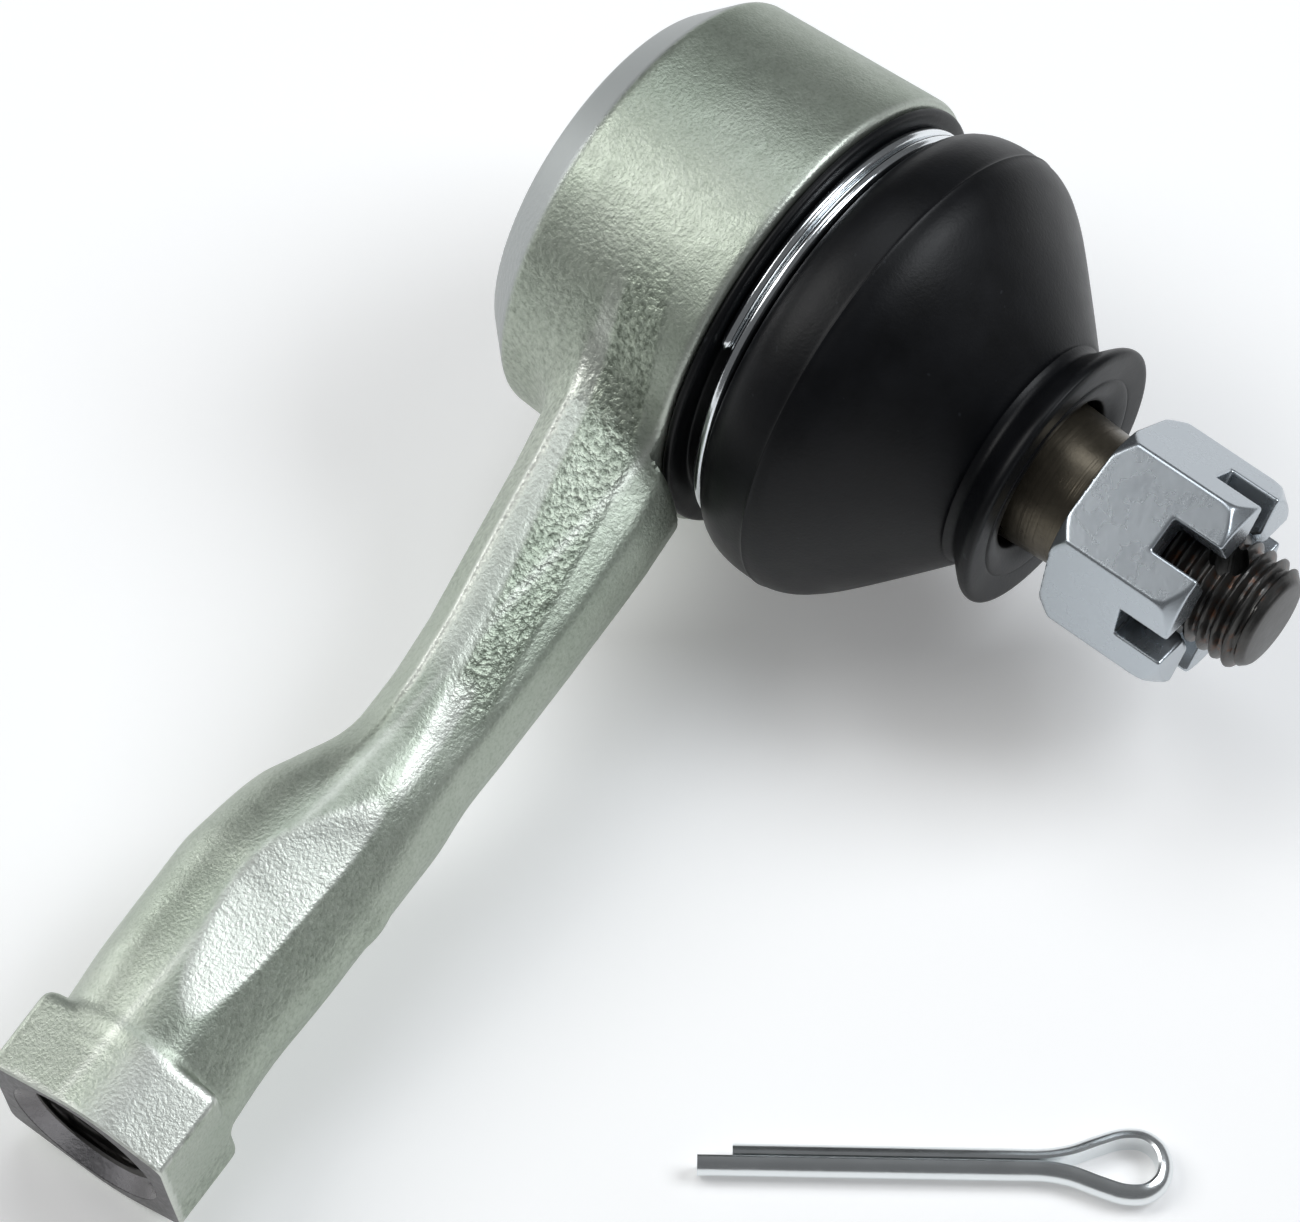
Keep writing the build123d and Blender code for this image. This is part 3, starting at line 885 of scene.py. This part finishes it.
def stud_mesh():
    prof = []
    # spherical ball, flattened underneath
    y_flat = -9.9
    r_flat = math.sqrt(10.5**2 - y_flat**2)
    prof += [(0, y_flat), (r_flat * 0.5, y_flat), (r_flat, y_flat)]
    a0 = math.asin(y_flat / 10.5)
    a1 = math.asin(9.12 / 10.5)
    for k in range(1, 41):
        a = a0 + (a1 - a0) * k / 40
        prof.append((10.5 * math.cos(a), 10.5 * math.sin(a)))
    prof += [tuple(p) for p in catmull([(5.25, 9.3), (5.2, 10.2), (5.25, 12.0), (5.7, 13.4), (6.7, 15.4), (7.0, 16.2), (7.05, 17.2), (7.05, 20.0)], 4)]
    y = 20.6
    while y < 36.2:
        prof.append((7.05 - (y - 20.0) / 16.6 * 1.0, y))
        y += 1.0
    prof += [(6.07, 36.28), (6.0, 36.42), (4.6, 36.55)]
    n = 128
    verts, faces, rows, root = [], [], [], []
    for (r, yy) in prof:
        if r < 1e-6:
            rows.append([len(verts)])
            verts.append((0, yy, 0))
            root.append(0)
        else:
            row = []
            for k in range(n):
                t = 2 * math.pi * k / n
                row.append(len(verts))
                verts.append((r * math.cos(t), yy, r * math.sin(t)))
                root.append(0)
            rows.append(row)
    y = 36.7
    while y < 53.05:
        row = []
        for k in range(n):
            t = 2 * math.pi * k / n
            ph = (y / P_ST + k / n) % 1.0
            tt = thread_tooth(ph, 0.14, 0.24)
            grow = min(1.0, max(0.0, (y - 37.0) / 1.6))
            top = 4.95 - max(0.0, y - 52.2) * 0.95
            r = min(4.28 + 0.67 * tt * grow, top)
            row.append(len(verts))
            verts.append((r * math.cos(t), y, r * math.sin(t)))
            root.append((1 - tt) if y > 40 else 0)
        rows.append(row)
        y += 0.105
    for (r, yy) in ((4.02, 53.22), (3.86, 53.34), (3.6, 53.39), (1.5, 53.40), (0, 53.40)):
        if r < 1e-6:
            rows.append([len(verts)])
            verts.append((0, yy, 0))
            root.append(0)
        else:
            row = []
            for k in range(n):
                t = 2 * math.pi * k / n
                row.append(len(verts))
                verts.append((r * math.cos(t), yy, r * math.sin(t)))
                root.append(0)
            rows.append(row)
    for a, b in zip(rows[:-1], rows[1:]):
        faces += bridge_rows(a, b)
    return verts, faces, root


vv, ff, root = stud_mesh()
stud = make_obj("ball_stud_turned", vv, ff, None, M_STUD)
fix_normals(stud)
stud.data.materials.append(M_THREAD)
at = stud.data.attributes.new("root", "FLOAT", "POINT")
at.data.foreach_set("value", np.array(root, np.float32))
ys = np.array([p.center.y for p in stud.data.polygons]) / MM
stud.data.polygons.foreach_set("material_index", (ys > 36.45).astype(np.int32))

# the cross hole, cut with a straight cylinder
cv, cf2, _ = revolve([(0, -9), (1.6, -9), (1.6, 9), (0, 9)], 40)
cutter = make_obj("cut_hole", cv, cf2, None, M_THREAD)
fix_normals(cutter)
cutter.rotation_euler = (math.pi / 2, 0, 0)
cutter.location = (-0.0002, 0.0483, 0)
bpy.context.view_layer.update()
md = stud.modifiers.new("hole", "BOOLEAN")
md.operation, md.solver, md.object = "DIFFERENCE", "EXACT", cutter
dg = bpy.context.evaluated_depsgraph_get()
new = bpy.data.meshes.new_from_object(stud.evaluated_get(dg))
stud.modifiers.clear()
stud.data = new
bpy.data.objects.remove(cutter)
stud.data.polygons.foreach_set("use_smooth", [True] * len(stud.data.polygons))
stud.data.set_sharp_from_angle(angle=rad(38))
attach(stud, "stud")
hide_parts("ball_stud")


# ------------------------------------------------------------------ castle nut
NUT_Y0, NUT_H, NUT_PH = 36.62, 11.9, rad(36.6)


def f_nut(P):
    x, y, z = P[:, 0], P[:, 1], P[:, 2]
    r = np.sqrt(x * x + z * z)
    f = np.full(len(P), -1e3)
    for k in range(6):
        a = NUT_PH + rad(30 + 60 * k)
        f = smax(f, x * math.cos(a) + z * math.sin(a) - 8.5, 0.22)
    y1 = NUT_Y0 + NUT_H
    f = smax(f, NUT_Y0 - y, 0.12)
    f = smax(f, y - y1, 0.3)
    f = smax(f, 0.84 * (r - 8.95) + 0.54 * (NUT_Y0 - y), 0.12)
    f = smax(f, 0.98 * (r - 9.62) + 0.20 * (y - y1 + 1.2), 0.12)
    f = smax(f, 0.78 * (r - 9.42) + 0.626 * (y - y1 + 0.9), 0.12)
    for k in range(3):
        a = NUT_PH + rad(30 + 60 * k)
        side = -x * math.sin(a) + z * math.cos(a)
        slot = smax(np.abs(side) - 1.55, (y1 - 4.6) - y, 0.25)
        f = smax(f, -slot, 0.22)
    t = np.arctan2(z, x)
    ph = (y / P_ST + t / (2 * math.pi)) % 1.0
    d = np.abs(ph - 0.5) * 2
    tooth = np.clip((1 - 0.2 - d) / 0.64, 0, 1)
    bore = r - (5.02 - 0.0 * tooth)
    bore = np.minimum(bore, r - (5.5 - (y1 - y) * 0.8))
    bore = np.minimum(bore, r - (5.6 - (y - NUT_Y0) * 0.8))
    return smax(f, -bore, 0.15)


HN = 0.15
v, f = surface_nets(f_nut, (-10.4, 36.1, -10.4), (10.4, 49.1, 10.4), HN)
v = project(f_nut, v, 0.6 * HN)
v = relax(f_nut, v, f, 2, 0.3 * HN)
v = unfold(f_nut, v, f)
nut = make_obj("castle_nut_hex", v, f, "nut", M_NUT, ["castle_nut"], sharp=60)
fix_normals(nut)

# ------------------------------------------------------------------ dust boot
outer_p = [(19.75, 6.36), (19.95, 6.6), (19.88, 6.95), (19.6, 7.1), (18.1, 7.13), (17.65, 7.25), (17.56, 7.5), (17.56, 8.4), (17.6, 9.25), (17.85, 9.6), (18.6, 9.72),
           (19.3, 9.95), (19.95, 10.6), (20.55, 11.7), (20.88, 13.2), (20.95, 14.6), (20.95, 15.45), (21.0, 15.62), (20.92, 15.8), (20.72, 16.7), (20.2, 17.9), (19.3, 19.2), (18.1, 20.6), (14.2, 24.5), (11.4, 27.2),
           (10.65, 27.9), (10.42, 28.0), (10.36, 28.1), (10.22, 28.5), (10.3, 28.95), (10.8, 29.5), (11.5, 30.2), (12.0, 30.8), (12.15, 31.2), (12.1, 31.55), (11.8, 31.72), (11.2, 31.75),
           (9.6, 31.66), (9.45, 31.62), (9.3, 31.72), (8.6, 31.7), (8.0, 31.55), (7.5, 31.3), (7.15, 31.05), (7.02, 30.5), (6.95, 29.9)]
inner_p = [(6.7, 29.2), (7.6, 28.2), (8.6, 27.6), (13.0, 23.2), (17.4, 18.8), (18.6, 17.0), (19.1, 14.6), (18.8, 12.6), (17.6, 11.9), (15.6, 11.2), (15.4, 8.6), (14.6, 8.0), (10.95, 7.95), (10.95, 7.0), (16.5, 6.97), (16.56, 6.36)]
prof = [tuple(p) for p in catmull(outer_p, 4)] + [tuple(p) for p in catmull(inner_p, 3)]


def boot_radial(r, y, t):
    if 11 < y < 28:
        r = r + 0.05 * math.sin(2 * t + 0.6) * math.exp(-((y - 16) / 6) ** 2) + 0.02 * math.sin(5 * t)
    return r, y


vv, ff, rows = revolve(prof, 160, boot_radial)
ff += bridge_rows(rows[-1], rows[0])
boot = make_obj("dust_boot_rubber", vv, ff, None, M_RUBBER, sharp=50)
fix_normals(boot)
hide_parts("dust_boot")
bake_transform(boot)


# ------------------------------------------------------------------ swept round and half-round wire
def sweep(path, section, up=None, closed_ends=True, flip=None):
    """section: list of (a, b) offsets; a along the side vector, b along the second normal, transported along the path."""
    P = np.array(path, float)
    n = len(P)
    T = np.gradient(P, axis=0)
    T /= np.linalg.norm(T, axis=1)[:, None]
    verts, faces, rows = [], [], []
    upv = np.array(up, float)
    for i in range(n):
        b = upv - (upv @ T[i]) * T[i]
        b /= np.linalg.norm(b)
        a = np.cross(T[i], b)
        row = []
        sec = section(i, n) if callable(section) else section
        for (sa, sb) in sec:
            row.append(len(verts))
            verts.append(P[i] + a * sa + b * sb)
        rows.append(row)
    for r0, r1 in zip(rows[:-1], rows[1:]):
        faces += bridge_rows(r0, r1)
    if closed_ends:
        for r, d in ((rows[0], 1), (rows[-1], -1)):
            c = len(verts)
            verts.append(np.mean([verts[k] for k in r], axis=0))
            m = len(r)
            faces += [(r[k], r[(k + 1) % m], c) if d < 0 else (r[(k + 1) % m], r[k], c) for k in range(m)]
    return verts, faces


# boot clamp ring: a turn and a half of wire, each end rounded off
WR, RR = 0.55, 18.15
path = []
for k in range(0, 561, 2):
    deg = 39.0 + k
    y = 7.73
    if deg > 225:
        y = 7.73 + 1.12 * (0.5 - 0.5 * math.cos(math.pi * min(1, (deg - 225) / 115)))
    if deg > 340:
        y = 8.85 + 0.22 * math.exp(-((deg - 372) / 16) ** 2)
    path.append((RR * math.cos(rad(deg)), y, RR * math.sin(rad(deg))))


def round_sec(i, n):
    e = min(i, n - 1 - i) * (RR * rad(2)) / WR
    s = 1.0 if e >= 1 else math.sqrt(max(0.02, 1 - (1 - e) ** 2))
    return [(WR * s * math.cos(2 * math.pi * j / 16), WR * s * math.sin(2 * math.pi * j / 16)) for j in range(16)]


vv, ff = sweep(path, round_sec, up=(0, 1, 0))
ring = make_obj("boot_clamp_wire", vv, ff, "housing", M_WIRE, ["boot_clamp_ring"])
fix_normals(ring)

# neck ring
vv, ff, rows = revolve([(8.45, 30.6), (8.5, 30.57), (9.25, 30.57), (9.3, 30.6), (9.3, 31.2), (9.25, 31.24), (8.5, 31.24), (8.45, 31.2)], 96)
ff += bridge_rows(rows[-1], rows[0])
nring = make_obj("boot_neck_insert", vv, ff, "neck", M_RING, ["boot_neck_ring"], sharp=40)
fix_normals(nring)

# ------------------------------------------------------------------ inner pieces
vv, ff, rows = revolve([(2.5, -11.4), (8.25, -11.4), (8.35, -11.8), (11.55, -11.83), (12.1, -11.5), (12.93, -10.7), (12.93, -0.7), (12.85, -0.6), (10.56, -0.6)]
                       + [(10.55 * math.cos(rad(a)), 10.55 * math.sin(rad(a))) for a in range(-4, -76, -4)] + [(2.5, -10.25)], 96)
ff += bridge_rows(rows[-1], rows[0])
o = make_obj("lower_seat_shell", vv, ff, "seat", M_PLASTIC, ["lower_seat"], sharp=38)
fix_normals(o)
vv, ff, rows = revolve([(10.55, -0.2), (12.93, -0.2), (12.93, 1.9), (9.93, 5.55), (9.93, 5.88), (9.24, 5.88), (9.22, 5.25), (9.16, 5.24)]
                       + [(10.55 * math.cos(rad(a)), 10.55 * math.sin(rad(a))) for a in range(28, -1, -4)], 96)
ff += bridge_rows(rows[-1], rows[0])
o = make_obj("upper_seat_shell", vv, ff, "bearing", M_PLASTIC, ["upper_seat"], sharp=38)
fix_normals(o)
path = []
for k in range(0, 901, 10):
    t = rad(k)
    path.append((5.0 * math.cos(t), -11.98 - 3.3 * k / 900, -5.0 * math.sin(t)))
vv, ff = sweep(path, [(0.55 * math.cos(2 * math.pi * j / 12), 0.55 * math.sin(2 * math.pi * j / 12)) for j in range(12)], up=(0, 1, 0))
o = make_obj("preload_coil", vv, ff, None, M_SPRING)
fix_normals(o)
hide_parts("preload_spring")
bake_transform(o)

# ------------------------------------------------------------------ cotter pin
pang = math.atan2(65.1 - 43.6, 40.2 - 57.6)
px, pn = np.array([math.cos(pang), math.sin(pang), 0]), np.array([-math.sin(pang), math.cos(pang), 0])
p0 = np.array([40.2, 65.1, -20.95 + 1.2])
ctl = [(-29.2, -0.70), (-20, -0.70), (-12, -0.70), (-5, -0.70), (-1.6, -0.74), (0.4, -1.12), (2.6, -1.98), (4.6, -2.62), (6.3, -2.52), (7.5, -1.55), (7.93, 0.0),
       (7.5, 1.55), (6.3, 2.52), (4.6, 2.62), (2.6, 1.98), (0.4, 1.12), (-1.6, 0.74), (-5, 0.70), (-12, 0.70), (-20, 0.70), (-26.4, 0.70)]
fine_p = catmull(ctl, 10)
path = [p0 + px * a + pn * b for a, b in fine_p]
# half-round section, its flat towards the middle of the pin
sec = []
for j in range(13):
    a = math.pi * j / 12
    sec.append((0.62 - 1.28 * math.sin(a) if False else -0.64 + 1.28 * math.sin(a) * 1.0, -1.18 * math.cos(a)))
sec = [(-0.62, -1.05)] + [(-0.62 + 1.26 * math.sin(a), -1.18 * math.cos(a)) for a in np.linspace(0.18, math.pi - 0.18, 13)] + [(-0.62, 1.05)]
vv, ff = sweep(path, sec, up=(0, 0, 1))
pin = make_obj("cotter_pin_wire", vv, ff, "pin", M_PIN, ["cotter_pin"], sharp=40)
fix_normals(pin)

# ------------------------------------------------------------------ floor, lights, camera
bm = bmesh.new()
fl = bpy.data.meshes.new("floor")
gv = [bm.verts.new((x * 0.25, y * 0.25, 0)) for y in range(-8, 9) for x in range(-8, 9)]
for j in range(16):
    for i in range(16):
        bm.faces.new((gv[j * 17 + i], gv[j * 17 + i + 1], gv[(j + 1) * 17 + i + 1], gv[(j + 1) * 17 + i]))
bm.to_mesh(fl)
bm.free()
floor = bpy.data.objects.new("floor", fl)
floor.location = (0.03, 0.02, -0.02097)
fl.materials.append(mat_floor())
bpy.context.scene.collection.objects.link(floor)


def area(name, loc, target, size, power, color=(1, 1, 1), size_y=None):
    l = bpy.data.lights.new(name, "AREA")
    l.energy, l.color, l.size = power, color, size
    if size_y:
        l.shape, l.size_y = "RECTANGLE", size_y
    o = bpy.data.objects.new(name, l)
    o.location = loc
    d = Vector(target) - Vector(loc)
    o.rotation_euler = d.to_track_quat("-Z", "Y").to_euler()
    bpy.context.scene.collection.objects.link(o)
    return o


def ray(az, el, dist):
    return (0.03 + dist * math.cos(rad(el)) * math.cos(rad(az)), 0.015 + dist * math.cos(rad(el)) * math.sin(rad(az)), dist * math.sin(rad(el)))


MID = (0.03, 0.015, 0.0)
area("softbox_left", ray(-62, 47, 0.85), MID, 0.46, 2.75, (1.0, 1.0, 0.99), 0.50)
area("softbox_right", ray(136, 49, 0.85), MID, 0.44, 3.5, (0.93, 0.965, 1.0), 0.38)
area("overhead", ray(-138, 66, 0.95), MID, 0.40, 1.5, (0.93, 0.965, 1.0))
area("low_card", ray(-88, 4, 0.80), MID, 0.16, 0.7, (1.0, 1.0, 1.0), 0.12)

w = bpy.data.worlds.new("studio")
bpy.context.scene.world = w
w.use_nodes = True
bg = w.node_tree.nodes["Background"]
bg.inputs["Color"].default_value = (0.95, 0.97, 1.0, 1)
bg.inputs["Strength"].default_value = 0.13

cam_d = bpy.data.cameras.new("camera")
cam_d.sensor_width = 36
cam_d.lens = 5503.08 / 1300 * 36
cam_d.clip_start, cam_d.clip_end = 0.01, 20
cam = bpy.data.objects.new("camera", cam_d)
right = Vector((-0.63613496, 0.77129621, 0.02084386))
down = Vector((0.64344688, 0.54521083, -0.5373279))
fwd = Vector((-0.42580327, -0.32840115, -0.84311581))
m3 = Matrix((right, -down, -fwd)).transposed()
cam.matrix_world = Matrix.Translation(Vector((218.45767612, 158.91063548, 370.69872098)) * MM) @ m3.to_4x4()
bpy.context.scene.collection.objects.link(cam)
bpy.context.scene.camera = cam
bpy.context.scene.view_settings.view_transform = "Standard"
